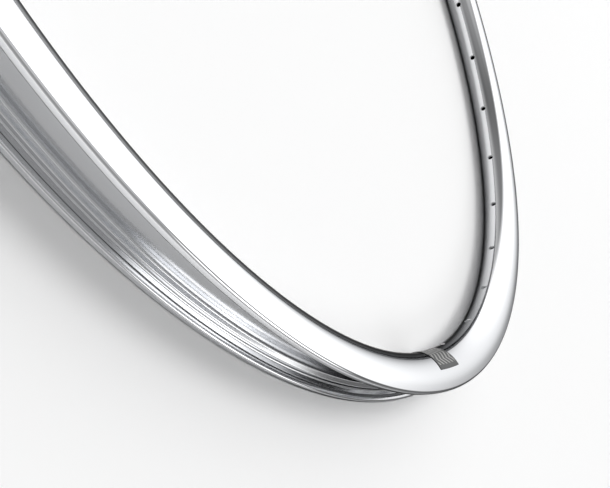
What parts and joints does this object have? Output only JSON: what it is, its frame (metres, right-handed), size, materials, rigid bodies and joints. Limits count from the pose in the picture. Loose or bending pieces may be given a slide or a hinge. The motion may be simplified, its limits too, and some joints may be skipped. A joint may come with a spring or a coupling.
{
  "type": "bicycle rim",
  "caption": "Hollow hoop of polished aluminium with hooked tyre flanges and a rounded spoke bed, drilled for spokes and a valve, with a small foil label.",
  "frame": {"origin": "middle of the hub axis, halfway between the two side faces", "axes": "+Z along the hub axis, out of the upper side face; +Y through the valve hole; the label is at -Y"},
  "size_m": [0.634, 0.634, 0.028],
  "materials": {
    "polished_aluminium": "polished",
    "label_foil": "satin"
  },
  "bodies": {
    "root": {"rim": "polished_aluminium", "rim_label": "label_foil"}
  },
  "joints": []
}
